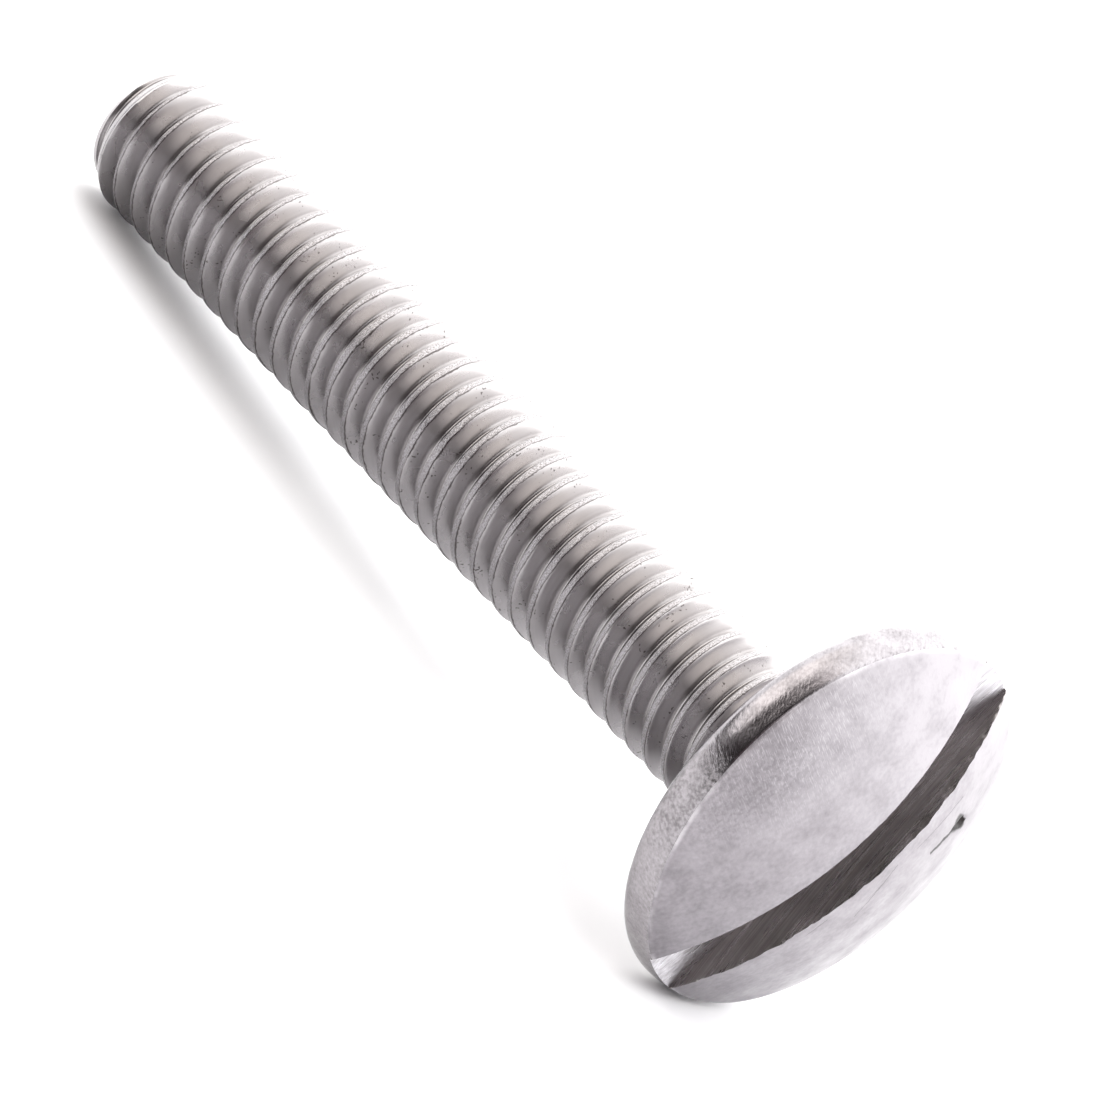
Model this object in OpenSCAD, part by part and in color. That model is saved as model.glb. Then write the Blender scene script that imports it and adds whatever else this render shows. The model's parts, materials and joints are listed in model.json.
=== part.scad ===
// Slotted mushroom head machine screw, one piece of stainless steel wire,
// cold headed, slotted and thread rolled. It lies on the rim of its head and
// on the end of its thread, as a loose screw comes to rest on a table.

/* [Thread] */
// Diameter over the thread crests
thread_d = 3.9; // [3.2:0.05:5]
// Pitch of the right-hand thread
pitch = 0.7; // [0.5:0.05:0.9]
// Width of the flat on the crests
crest_flat = 0.16; // [0.08:0.01:0.22]
// Turn of the thread about the axis, from the side the screw lies on
thread_turn = 123; // [0:1:359]

/* [Shank] */
// Length from the seat under the head to the tip
shank_l = 24.9; // [12:0.1:40]
// Length of the plain neck between the seat and the thread
neck_l = 0.8; // [0.4:0.1:2]
// How far the plain neck lies under the crests, near the thread's pitch line
neck_step = 0.22; // [0.1:0.01:0.35]
// Radius of the fillet where the neck meets the seat
neck_fillet = 0.25; // [0.1:0.05:0.4]

/* [Tip] */
// Diameter at the end, where the cone would meet the flat
tip_d = 2.9; // [1.8:0.1:3]
// Length of the cone from the flat end up to the crests
tip_cone_l = 1; // [0.4:0.1:1.5]
// Radius of the edge between the flat end and the cone
tip_round = 0.3; // [0.1:0.05:0.4]

/* [Head] */
// Largest diameter, at the rim
head_d = 9.8; // [7:0.1:13]
// Height of the rim, from the seat to the crease under the dome
rim_h = 0.96; // [0.6:0.02:1.4]
// Radius of the rim's edge round the seat
seat_round = 0.35; // [0.15:0.05:0.5]
// How far the rim draws in from its widest ring to the crease
rim_draw = 0.09; // [0.02:0.01:0.3]
// Height of the dome above the crease
dome_h = 1.28; // [0.8:0.02:2]

/* [Slot] */
// Width of the driver slot
slot_w = 1.45; // [1:0.05:2]
// Depth of the driver slot below the top of the dome
slot_depth = 1.34; // [0.8:0.02:1.8]
// How far the slot was cut off centre
slot_offset = 0.13; // [0:0.01:0.3]
// Turn of the slot about the axis, from the side the screw lies on
slot_turn = -23; // [-90:1:89]

/* [Hidden] */
$fn = 96;

// ---- thread: the basic 60 degree profile, with a rounded root ----
FLANK_ANGLE = 30;
// Root radius of a metric external thread, as a share of the pitch
ROOT_ROUND = 0.144;
// Points along one rounded root
ROOT_POINTS = 4;
// Triangles to spend on the thread, so that a longer one has fewer to a turn
THREAD_TRIANGLES = 10000;

crest_r = thread_d / 2;
neck_r = crest_r - neck_step;
apex_r = crest_r + crest_flat / 2 / tan(FLANK_ANGLE);
vee_h = pitch / 2 / tan(FLANK_ANGLE);
root_round = ROOT_ROUND * pitch;
root_centre_r = apex_r - vee_h + root_round / sin(FLANK_ANGLE);
root_r = root_centre_r - root_round;

// One pitch of the ridge in [radius, height]: the sharp apex, which the
// envelope trims to the crest flat, then the rounded root
thread_profile = concat(
    [[apex_r, 0]],
    [for (k = [0:ROOT_POINTS - 1])
        let (a = (90 - FLANK_ANGLE) * (2 * k / (ROOT_POINTS - 1) - 1))
            [root_centre_r - root_round * cos(a), pitch / 2 + root_round * sin(a)]]);

// Whole turns from under the tip to inside the head, where the ends are trimmed
foot_turn = ceil(shank_l / pitch) + 1;
thread_turns = foot_turn + ceil((rim_h / 2 - neck_l) / pitch) + 1;
turn_facets = floor(THREAD_TRIANGLES / (2 * len(thread_profile) * thread_turns));

// ---- tip: a cone off the crests, rolled over into the flat end ----
tip_r = tip_d / 2;
cone_angle = atan((crest_r - tip_r) / tip_cone_l);
// Centre of the rolled edge, which touches both the end and the cone
tip_edge_r = tip_r - tip_round * (1 - sin(cone_angle)) / cos(cone_angle);

// ---- head: a dome on a rim, which is widest at the top of the seat's edge ----
head_r = head_d / 2;
crease_r = head_r - rim_draw;
dome_r = (pow(crease_r, 2) + pow(dome_h, 2)) / (2 * dome_h);
rim_side_h = rim_h - seat_round;
rim_side_r = (pow(rim_side_h, 2) + pow(rim_draw, 2)) / (2 * rim_draw);
head_h = rim_h + dome_h;
rim_widest_z = seat_round;

// ---- pose: the line that touches the rim and the first whole crest ----
first_crest_z = -shank_l + tip_cone_l;
to_rim = [rim_widest_z - first_crest_z, head_r - seat_round - crest_r];
lie_angle = atan(to_rim[1] / to_rim[0]) + asin(seat_round / norm(to_rim));
// Height of the seat's centre above the table
seat_height = crest_r * cos(lie_angle) - first_crest_z * sin(lie_angle);
// Reach of the lying screw to either side of the seat's centre, along the table
reach_head = dome_r - (dome_r - head_h) * cos(lie_angle);
reach_tip = shank_l * cos(lie_angle) + (tip_edge_r + tip_round) * sin(lie_angle);

// A screw-shaped solid from its lowest turn up, closed at each end by a fan
// round the axis, with sharp ridges at whole pitches above its foot
module ridge(turns) {
    wide = len(thread_profile);
    last = turns * turn_facets;
    function id(i, j) = i * wide + j;
    side = [for (i = [0:last]) for (p = thread_profile)
        let (a = 360 * i / turn_facets)
            [p[0] * cos(a), p[0] * sin(a), p[1] + pitch * i / turn_facets]];
    foot = len(side);
    flanks = [for (i = [0:last - 1]) for (j = [0:wide - 2]) each [
        [id(i, j), id(i + 1, j + 1), id(i + 1, j)],
        [id(i, j), id(i, j + 1), id(i + 1, j + 1)]]];
    // The last flank of a turn ends on the apex of the next turn up
    closing = [for (i = [0:last - turn_facets - 1])
        let (up = i + turn_facets) each [
            [id(i, wide - 1), id(up + 1, 0), id(i + 1, wide - 1)],
            [id(i, wide - 1), id(up, 0), id(up + 1, 0)]]];
    foot_edge = concat([for (i = [0:turn_facets]) id(i, 0)],
        [for (j = [wide - 1:-1:1]) id(0, j)]);
    top_edge = concat([for (i = [last - turn_facets:last]) id(i, wide - 1)],
        [for (j = [wide - 2:-1:0]) id(last, j)]);
    foot_fan = [for (k = [0:len(foot_edge) - 1])
        [foot, foot_edge[k], foot_edge[(k + 1) % len(foot_edge)]]];
    top_fan = [for (k = [0:len(top_edge) - 1])
        [foot + 1, top_edge[(k + 1) % len(top_edge)], top_edge[k]]];
    polyhedron(
        concat(side, [[0, 0, pitch / 2], [0, 0, pitch * (turns + 0.5)]]),
        concat(flanks, closing, foot_fan, top_fan));
}

// The true cylinder of the crests, with the tip's cone below and the
// run-out's cone above, down to the neck
module envelope() {
    runout_z = -neck_l - neck_step;
    rotate_extrude() {
        polygon([
            [0, -shank_l], [tip_edge_r, -shank_l], [tip_edge_r, -shank_l + tip_round],
            [tip_edge_r + tip_round * cos(cone_angle),
                -shank_l + tip_round * (1 - sin(cone_angle))],
            [crest_r, first_crest_z], [crest_r, runout_z], [neck_r, -neck_l], [0, -neck_l]]);
        intersection() {
            translate([tip_edge_r, -shank_l + tip_round]) circle(tip_round);
            translate([tip_edge_r, -shank_l]) square([tip_round, tip_round]);
        }
    }
}

module thread() {
    intersection() {
        rotate([0, 0, thread_turn])
            translate([0, 0, -foot_turn * pitch])
                ridge(thread_turns);
        envelope();
    }
}

// The plain neck with its fillet above, and below it the cone on which the
// thread's root runs out
module neck() {
    rotate_extrude() {
        polygon([
            [0, -neck_l - pitch], [root_r, -neck_l - pitch], [neck_r, -neck_l],
            [neck_r, rim_h / 2], [0, rim_h / 2]]);
        difference() {
            translate([0, -neck_fillet]) square([neck_r + neck_fillet, neck_fillet + rim_h / 2]);
            translate([neck_r + neck_fillet, -neck_fillet]) circle(neck_fillet);
        }
    }
}

// The rim's side is a long arc from the widest ring up to the crease
module head_blank() {
    rotate_extrude() {
        square([head_r - seat_round, rim_h]);
        intersection() {
            translate([head_r - seat_round, seat_round]) circle(seat_round);
            translate([head_r - seat_round, 0]) square(seat_round);
        }
        intersection() {
            translate([head_r - rim_side_r, rim_widest_z]) circle(rim_side_r);
            translate([0, rim_widest_z]) square([head_r, rim_side_h]);
        }
        intersection() {
            translate([0, head_h - dome_r]) circle(dome_r);
            translate([0, rim_h]) square([crease_r, dome_h]);
        }
    }
}

// The saw cut, clear of the head at both ends and above
module slot() {
    rotate([0, 0, slot_turn])
        translate([-head_d, -slot_offset - slot_w / 2, head_h - slot_depth])
            cube([2 * head_d, slot_w, head_h]);
}

// The whole screw, standing on its axis with the seat's centre at the origin
module upright_screw() {
    thread();
    neck();
    difference() {
        head_blank();
        slot();
    }
}

// The table is at Z = 0, the head is towards +X, and the origin is under the
// middle of the screw
module screw() {
    color("silver")
        translate([(reach_tip - reach_head) / 2, 0, seat_height])
            rotate([0, 90 - lie_angle, 0])
                upright_screw();
}

screw();
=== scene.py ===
"""Slotted mushroom head machine screw, M4 x 25, dressed for a studio view.

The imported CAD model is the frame. One closed mesh stands for its one solid:
the thread with its torn rolled crests, the upset head with its tumbled skin,
and the sawn slot with its burrs.
"""

from __future__ import annotations

import json
import logging
import math
from dataclasses import dataclass, field
from enum import IntEnum

import bpy
import numpy as np
from mathutils import Matrix, Vector

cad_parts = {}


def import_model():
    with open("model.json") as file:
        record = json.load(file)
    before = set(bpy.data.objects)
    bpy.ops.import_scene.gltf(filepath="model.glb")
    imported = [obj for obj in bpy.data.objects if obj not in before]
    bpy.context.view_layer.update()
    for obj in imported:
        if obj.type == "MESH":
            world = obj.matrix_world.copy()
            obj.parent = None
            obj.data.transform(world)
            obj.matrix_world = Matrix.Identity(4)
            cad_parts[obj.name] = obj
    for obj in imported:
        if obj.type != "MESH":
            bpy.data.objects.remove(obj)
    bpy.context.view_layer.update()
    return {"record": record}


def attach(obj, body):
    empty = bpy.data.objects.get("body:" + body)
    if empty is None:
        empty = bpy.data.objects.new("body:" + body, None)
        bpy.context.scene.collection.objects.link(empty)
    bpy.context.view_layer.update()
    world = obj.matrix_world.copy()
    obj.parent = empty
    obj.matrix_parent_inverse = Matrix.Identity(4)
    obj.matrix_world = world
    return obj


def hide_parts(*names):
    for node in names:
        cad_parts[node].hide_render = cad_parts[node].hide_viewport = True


LOG = logging.getLogger("screw")
MM = 0.001
# The corner attribute that tells each finish how it lies on the skin
LAY = "lay"
CIRCLE = 2 * math.pi
# An edge that bends by more than this is shaded as a corner
SHARP = math.radians(38)
Array = np.ndarray


# ---------------------------------------------------------------- helpers


def linear(hex_colour: str) -> tuple[float, float, float, float]:
    """Turn an sRGB hex colour into linear red, green and blue and an alpha of one."""
    digits = hex_colour.lstrip("#")
    parts = [int(digits[i : i + 2], 16) / 255 for i in (0, 2, 4)]
    red, green, blue = (c / 12.92 if c <= 0.04045 else ((c + 0.055) / 1.055) ** 2.4 for c in parts)
    return red, green, blue, 1.0


def smooth(values: Array, low: float, high: float) -> Array:
    """Step smoothly from zero at low to one at high."""
    t = np.clip((values - low) / (high - low), 0, 1)
    return t * t * (3 - 2 * t)


def rings(radii: Array, angles: Array, heights: Array) -> Array:
    """Give the points round the z axis at some radii, angles and heights."""
    x, y = radii * np.cos(angles), radii * np.sin(angles)
    return np.stack(np.broadcast_arrays(x, y, heights), -1)


def turned(points: Array, degrees: float) -> Array:
    """Turn points about the z axis."""
    cos, sin = math.cos(math.radians(degrees)), math.sin(math.radians(degrees))
    x, y, z = np.moveaxis(points, -1, 0)
    return np.stack([x * cos - y * sin, x * sin + y * cos, z], -1)


def closed(rows: Array) -> Array:
    """Repeat a grid's first column after its last."""
    return np.concatenate([rows, rows[:, :1]], 1)


@dataclass(frozen=True)
class Ripple:
    """Smooth random heights along a line, the same on each run.

    The length lies between its random knots, in millimetres, and the seed is
    which random line it is.
    """

    height: float
    length: float
    seed: int
    amount: int = 4096

    def at(self, along: Array) -> Array:
        """Give the heights, both ways from zero, at distances along the line."""
        knots = np.random.default_rng(self.seed).uniform(-1, 1, self.amount)
        place = along / self.length
        whole = np.floor(place).astype(int)
        t = smooth(place - whole, 0, 1)
        heights = knots[whole % self.amount] * (1 - t) + knots[(whole + 1) % self.amount] * t
        return self.height * heights


class Finish(IntEnum):
    """The finishes of the screw's skin, in the order of its material slots."""

    ROLLED = 0
    TUMBLED = 1
    RIM = 2
    SAWN = 3
    SHEARED = 4
    FLOOR = 5


# Points in a row: their numbers, rising keys and lay vectors
Chain = list[tuple[int, float, Array]]


@dataclass
class Skin:
    """Points, faces, corner values and finishes of one closed mesh."""

    points: list[Array] = field(default_factory=list)
    faces: list[tuple[int, ...]] = field(default_factory=list)
    lays: list[Array] = field(default_factory=list)
    finishes: list[int] = field(default_factory=list)
    count: int = 0

    def add_points(self, points: Array) -> Array:
        """Add an array of points in millimetres and give their numbers in its shape."""
        shape = points.shape[:-1]
        self.points.append(points.reshape(-1, 3))
        numbers = self.count + np.arange(math.prod(shape)).reshape(shape)
        self.count += math.prod(shape)
        return numbers

    def add_face(self, corners: tuple[int, ...], lay: Array, finish: Finish) -> None:
        """Add one face, with a lay vector for each corner."""
        self.faces.append(corners)
        self.lays.append(lay)
        self.finishes.append(int(finish))

    def add_grid(self, numbers: Array, lay: Array, finish: Finish, flipped: bool = False) -> None:
        """Add the quads of a grid, or triangles where two corners are one point.

        Args:
            numbers: point numbers, rows by columns.
            lay: a lay vector for each grid point.
            finish: the finish of the faces.
            flipped: whether the faces look the other way.
        """
        quads, lays = (
            np.stack([rows[:-1, :-1], rows[:-1, 1:], rows[1:, 1:], rows[1:, :-1]], 2)
            for rows in (numbers, lay)
        )
        order = [0, 3, 2, 1] if flipped else [0, 1, 2, 3]
        quads, lays = quads[:, :, order].reshape(-1, 4), lays[:, :, order].reshape(-1, 4, 3)
        for quad, corners in zip(quads.tolist(), lays):
            kept = [k for k in range(4) if quad[k] != quad[k - 1]]
            if len(kept) > 2:
                self.add_face(tuple(quad[k] for k in kept), corners[kept], finish)

    def stitch(self, lower: Chain, upper: Chain, finish: Finish) -> None:
        """Join two chains of points with triangles, in the order of their keys."""
        i = j = 0
        while i < len(lower) - 1 or j < len(upper) - 1:
            forward = j == len(upper) - 1 or (
                i < len(lower) - 1 and lower[i + 1][1] <= upper[j + 1][1]
            )
            corners = (lower[i], lower[i + 1] if forward else upper[j + 1], upper[j])
            numbers, _keys, lays = zip(*corners)
            self.add_face(numbers, np.array(lays), finish)
            i, j = (i + 1, j) if forward else (i, j + 1)

    def refinish_below(self, height: float, finish: Finish) -> None:
        """Give the faces below a height a finish laid by their place."""
        points = np.concatenate(self.points)
        low = points[:, 2] < height
        for index, corners in enumerate(self.faces):
            if all(low[corner] for corner in corners):
                self.lays[index] = points[list(corners)]
                self.finishes[index] = int(finish)

    def to_object(self, name: str, place: Matrix) -> bpy.types.Object:
        """Make the Blender object, without the points that no face uses.

        Args:
            name: the object's name.
            place: where the screw's own frame lies, with its scale to metres.

        Returns:
            The linked object, at the origin with its place in its mesh.
        """
        points = np.concatenate(self.points)
        used = np.unique(np.concatenate(self.faces))
        new_numbers = np.full(len(points), -1)
        new_numbers[used] = np.arange(len(used))
        faces = [new_numbers[list(corners)].tolist() for corners in self.faces]
        mesh = bpy.data.meshes.new(name)
        mesh.from_pydata(points[used].tolist(), [], faces)
        mesh.polygons.foreach_set("material_index", self.finishes)
        mesh.polygons.foreach_set("use_smooth", [True] * len(self.faces))
        attribute = mesh.attributes.new(LAY, "FLOAT_VECTOR", "CORNER")
        lays = np.concatenate(self.lays).astype(np.float32)
        attribute.data.foreach_set("vector", lays.ravel())
        mesh.transform(place)
        mesh.update()
        mesh.set_sharp_from_angle(angle=SHARP)
        piece = bpy.data.objects.new(name, mesh)
        bpy.context.scene.collection.objects.link(piece)
        return piece


# ---------------------------------------------------------------- the screw


@dataclass(frozen=True)
class Lie:
    """How the screw lies: its seat's centre and its axis, from the record."""

    seat: Vector
    axis: Vector

    @classmethod
    def from_record(cls, record: dict) -> Lie:
        """Read the seat mount, whose axis points from the seat to the tip."""
        mount = next(m for m in record["mounts"] if m["name"] == "seat")
        return cls(Vector(mount["pos_m"]), -Vector(mount["axis"]).normalized())

    def matrix(self) -> Matrix:
        """Give the screw's frame: x down to the table, z towards the head."""
        down = Vector((self.axis.z, 0, -self.axis.x)).normalized()
        side = self.axis.cross(down)
        turn = Matrix((down, side, self.axis)).transposed().to_4x4()
        return Matrix.Translation(self.seat) @ turn @ Matrix.Scale(MM, 4)


@dataclass(frozen=True)
class RolledThread:
    """The rolled thread from the sheared tip to the neck, in millimetres.

    Its crests are full near the head and lower and narrower at the tip, where
    the rolling hadn't filled them. Each crest carries a flat torn strip.
    """

    length: float = 24.9
    pitch: float = 0.7
    flank_lean: float = math.radians(30)
    crest_r: float = 1.95
    tip_crest_r: float = 1.92
    flank_half: float = 0.08
    tip_flank_half: float = 0.045
    shoulder: float = 0.06
    strip_half: float = 0.074
    tip_strip_half: float = 0.03
    neck_strip_half: float = 0.06
    strip_sink: float = 0.001
    strip_step: float = 0.006
    strip_fade: float = 0.02
    side_rows: tuple[tuple[float, float], ...] = (
        (0.008, 0.064), (0.020, 0.086), (0.034, 0.112), (0.044, 0.130)
    )
    root_round: float = 0.1
    root_step: float = 0.012
    root_share: float = 0.3
    turn: float = 123.0
    cone_length: float = 1.0
    cone_end_r: float = 1.45
    edge_round: float = 0.3
    end_shift: tuple[float, float] = (0.1, 0.0)
    shifted_length: float = 1.6
    neck_length: float = 0.8
    neck_r: float = 1.73
    neck_fillet: float = 0.25
    filling: tuple[float, float] = (1.0, 12.0)
    neck_reach: float = 3.0
    strip_waver: tuple[Ripple, ...] = (Ripple(0.2, 1.1, 3), Ripple(0.14, 0.31, 4))
    tears: tuple[Ripple, ...] = (Ripple(0.005, 0.11, 11), Ripple(0.004, 0.47, 12))
    flank_waver: Ripple = Ripple(0.003, 1.7, 14)
    runout_start: float = 0.12
    runout_slope: float = 0.3
    around: int = 100
    top_rows: int = 18

    @property
    def theta(self) -> Array:
        """Angles of the columns round the axis."""
        return np.arange(self.around) / self.around * CIRCLE

    @property
    def cone_angle(self) -> float:
        """Angle of the tip's cone to the axis."""
        return math.atan((self.crest_r - self.cone_end_r) / self.cone_length)

    @property
    def edge_r(self) -> float:
        """Radius of the ring about which the tip's edge is rounded."""
        angle = self.cone_angle
        return self.cone_end_r - self.edge_round * (1 - math.sin(angle)) / math.cos(angle)

    def meridian(self, s: Array) -> tuple[Array, Array]:
        """Follow the outline before threading, from the head to the end's middle.

        Args:
            s: axial place down to the rounded edge, and then arc length.

        Returns:
            Radius and height of each place.
        """
        angle, edge = self.cone_angle, self.edge_round
        cone_z = -self.length + self.cone_length
        edge_z = -self.length + edge * (1 - math.sin(angle))
        flat_s = edge_z - edge * (math.pi / 2 - angle)
        radius, height = np.full_like(s, self.crest_r), s.copy()
        cone, bend, flat = s < cone_z, s < edge_z, s < flat_s
        radius[cone] -= (cone_z - s[cone]) * math.tan(angle)
        lean = angle + (edge_z - s[bend]) / edge
        radius[bend] = self.edge_r + edge * np.cos(lean)
        height[bend] = -self.length + edge * (1 - np.sin(lean))
        radius[flat] = self.edge_r - (flat_s - s[flat])
        height[flat] = -self.length
        return radius, height

    def toward_head(self, z: Array) -> Array:
        """Give how far the rolling has filled the crests: none at the tip."""
        start, end = self.filling
        return smooth(z, -self.length + start, -self.length + end)

    def half_width(self, z: Array, along: Array) -> Array:
        """Half the torn strip's width, which grows from the tip and wanders."""
        grown, near_neck = self.toward_head(z), smooth(z, -self.length / 2, -self.neck_reach)
        full = self.tip_strip_half + grown * (self.strip_half - self.tip_strip_half)
        full = full + near_neck * (self.neck_strip_half - self.strip_half)
        return full * sum((waver.at(along) for waver in self.strip_waver), 1)

    def rows(self, half: Array) -> Array:
        """Give the profile's places across one pitch, from root to root.

        Args:
            half: half the strip's width at each place along the thread.

        Returns:
            Distances from the crest's middle, with one more axis at the front.
        """
        end = self.pitch / 2
        bend = end - self.root_round * math.cos(self.flank_lean)
        edge, low = half + self.strip_step, half - self.strip_step
        side = [edge, *(np.maximum(edge + past, least) for past, least in self.side_rows)]
        root = end - self.root_round * self.root_share
        for place in (bend - self.root_step, bend + self.root_step, root):
            side.append(np.full_like(half, place))
        left = [np.full_like(half, -end)] + [-w for w in reversed(side)]
        return np.stack(left + [-low, low] + side)

    def ridge(self, across: Array, half: Array, z: Array) -> Array:
        """Give the thread's radius, with rounded shoulders and a flat strip.

        Args:
            across: distance from the crest's middle.
            half: half the strip's width.
            z: height, since the crests are lower and narrower at the tip.

        Returns:
            The radius at each place.
        """
        grown, away = self.toward_head(z), np.abs(across)
        top = self.tip_crest_r + grown * (self.crest_r - self.tip_crest_r)
        wide = self.tip_flank_half + grown * (self.flank_half - self.tip_flank_half)
        slope = 1 / math.tan(self.flank_lean)
        line = top - (away - wide) * slope
        share = np.clip(0.5 + 0.5 * (line - top) / self.shoulder, 0, 1)
        body = top * share + line * (1 - share) - self.shoulder * share * (1 - share)
        body = np.where(away < half, top - self.strip_sink, body)
        centre = top + wide * slope - self.pitch / 2 * slope + self.root_round * 2
        rest = np.clip(self.pitch / 2 - away, 0, None)
        root = centre - np.sqrt(np.clip(self.root_round**2 - rest**2, 1e-9, None))
        return np.where(rest < self.root_round * math.cos(self.flank_lean), root, body)

    def surface(self, s: Array, across: Array, half: Array, along: Array) -> Array:
        """Give the skin's points, in the screw's own frame.

        Args:
            s: place along the outline, rows by columns round the axis.
            across: distance from the crest's middle.
            half: half the torn strip's width.
            along: distance along the thread.

        Returns:
            The points, worn and torn, and cut back to the neck near the head.
        """
        outline, z = self.meridian(s)
        torn = sum(tear.at(along) for tear in self.tears)
        on_crest = 1 - smooth(np.abs(across), half * 0.9, half + self.strip_fade)
        body = self.ridge(across, half, z)
        body = body + torn * (0.3 + 0.7 * self.toward_head(z)) * on_crest
        body = body + self.flank_waver.at(along) * (1 - on_crest)
        radius = np.minimum(outline, body)
        # The last groove runs out shallow below the plain neck
        neck_z = -self.neck_length
        below = np.clip(neck_z - z, 0, None)
        radius = np.minimum(radius, self.neck_r + below)
        shallow = self.neck_r + self.runout_start - self.runout_slope * below
        shallow = np.minimum(shallow, self.neck_r)
        radius = np.where(z > neck_z - self.pitch, np.maximum(radius, shallow), radius)
        radius = np.where(z > neck_z, self.neck_r, radius)
        points = rings(radius, self.theta, z)
        shift = 1 - smooth(z, -self.length, -self.length + self.shifted_length)
        points[..., :2] += shift[..., None] * self.end_shift
        return points

    def build(self, skin: Skin) -> list[int]:
        """Build the thread, its end and its neck.

        Args:
            skin: the mesh to add to.

        Returns:
            The point numbers of the ring where the neck meets the seat.
        """
        pitch, theta = self.pitch, self.theta
        start_z = pitch * -(self.turn / 360)
        first = math.ceil((-self.length - 1.0 - start_z) / pitch)
        last = math.floor((-self.neck_fillet - 0.1 - pitch - start_z) / pitch)
        turns = np.arange(last - first)[:, None]
        crest_s = start_z + pitch * (first + turns) + pitch * theta / CIRCLE
        along = self.crest_r * (theta + CIRCLE * turns)
        half = self.half_width(crest_s, along)
        wide = np.moveaxis(self.rows(half), 0, 1)
        per_turn = wide.shape[1]
        s = (crest_s[:, None] + wide).reshape(-1, self.around)
        across = wide.reshape(-1, self.around)
        along, half = np.repeat(along, per_turn, 0), np.repeat(half, per_turn, 0)
        points = self.surface(s, across, half, along)
        numbers = skin.add_points(points)
        lay = np.stack([along, across, half], -1)
        skin.add_grid(numbers, lay, Finish.ROLLED)
        # The last column of a turn joins the first column of the next turn up
        seam, seam_lay = (
            np.stack([rows[:-per_turn, -1], rows[per_turn:, 0]], 1) for rows in (numbers, lay)
        )
        seam_lay[:, 1, 0] = seam_lay[:, 0, 0] + self.crest_r * CIRCLE / self.around
        skin.add_grid(seam, seam_lay, Finish.ROLLED)
        foot = numbers[0].tolist() + numbers[per_turn:0:-1, 0].tolist()
        flat = np.concatenate(skin.points)[foot]
        skin.add_face(tuple(reversed(foot)), flat[::-1], Finish.SHEARED)
        skin.refinish_below(-self.length + 1e-6, Finish.SHEARED)
        top = slice(-per_turn - 1, None)
        return self.build_neck(skin, numbers[top], points[top], lay[top])

    def build_neck(self, skin: Skin, numbers: Array, points: Array, lay: Array) -> list[int]:
        """Close the last turn up to a flat ring, and add the neck's fillet.

        Args:
            skin: the mesh to add to.
            numbers: point numbers of the last turn's rows.
            points: the last turn's points.
            lay: the last turn's lay vectors.

        Returns:
            The point numbers of the ring on the seat.
        """
        low = points[-1, :, 2]
        share = (np.arange(1, self.top_rows + 1) / self.top_rows)[:, None]
        z = low + (-self.neck_fillet - low) * share
        crest = self.pitch * (self.theta / CIRCLE - self.turn / 360)
        across = (z - crest + self.pitch / 2) % self.pitch - self.pitch / 2
        along = np.broadcast_to(lay[-1, :, 0], z.shape)
        half = self.half_width(z, along)
        body = self.surface(z, across, half, along)
        upper = skin.add_points(body)
        numbers = np.concatenate([numbers, upper])
        heights = np.concatenate([points, body])[..., 2]
        lay = np.concatenate([lay, np.stack([along, across, half], -1)])
        base = len(numbers) - self.top_rows - 1
        skin.add_grid(numbers[base:], lay[base:], Finish.ROLLED)
        # The last column's full height is stitched to the first column
        left, right = (
            list(zip(numbers[start:, k].tolist(), heights[start:, k].tolist(), lay[start:, k]))
            for start, k in ((0, -1), (base, 0))
        )
        skin.stitch(right, left, Finish.ROLLED)
        return self.build_fillet(skin, numbers[-1], lay[-1])

    def build_fillet(self, skin: Skin, ring: Array, ring_lay: Array) -> list[int]:
        """Round the neck into the seat and give the last ring's numbers."""
        angles = np.linspace(0, math.pi / 2, 6)[1:, None]
        radii = self.neck_r + self.neck_fillet * (1 - np.cos(angles))
        heights = -self.neck_fillet * (1 - np.sin(angles))
        bend = skin.add_points(rings(radii, self.theta, heights))
        numbers = np.concatenate([ring[None], bend])
        lay = np.repeat(ring_lay[None], len(numbers), 0)
        lay[..., 1] = self.pitch / 2
        skin.add_grid(closed(numbers), closed(lay), Finish.ROLLED)
        return numbers[-1].tolist()


@dataclass(frozen=True)
class Nick:
    """A dent with a dragged tail, in the slot's frame, in millimetres."""

    x: float = -2.32
    y: float = 2.16
    depth: float = 0.12
    radius: float = 0.17
    tail_x: float = -1.34
    tail_y: float = 1.88
    tail_depth: float = 0.05
    tail_radius: float = 0.06

    def dent(self, x: Array, y: Array) -> Array:
        """Give how far the nick sinks the skin at each place."""
        run_x, run_y = self.tail_x - self.x, self.tail_y - self.y
        length = math.hypot(run_x, run_y)
        t = np.clip(((x - self.x) * run_x + (y - self.y) * run_y) / length**2, 0, 1)
        off = np.hypot(x - self.x - t * run_x, y - self.y - t * run_y)
        reach = self.tail_radius + (self.radius - self.tail_radius) * (1 - t) ** 3
        sink = self.tail_depth * (1 - t) + (self.depth - self.tail_depth) * (1 - t) ** 4
        return sink * (1 - smooth(off, reach * 0.3, reach))


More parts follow.
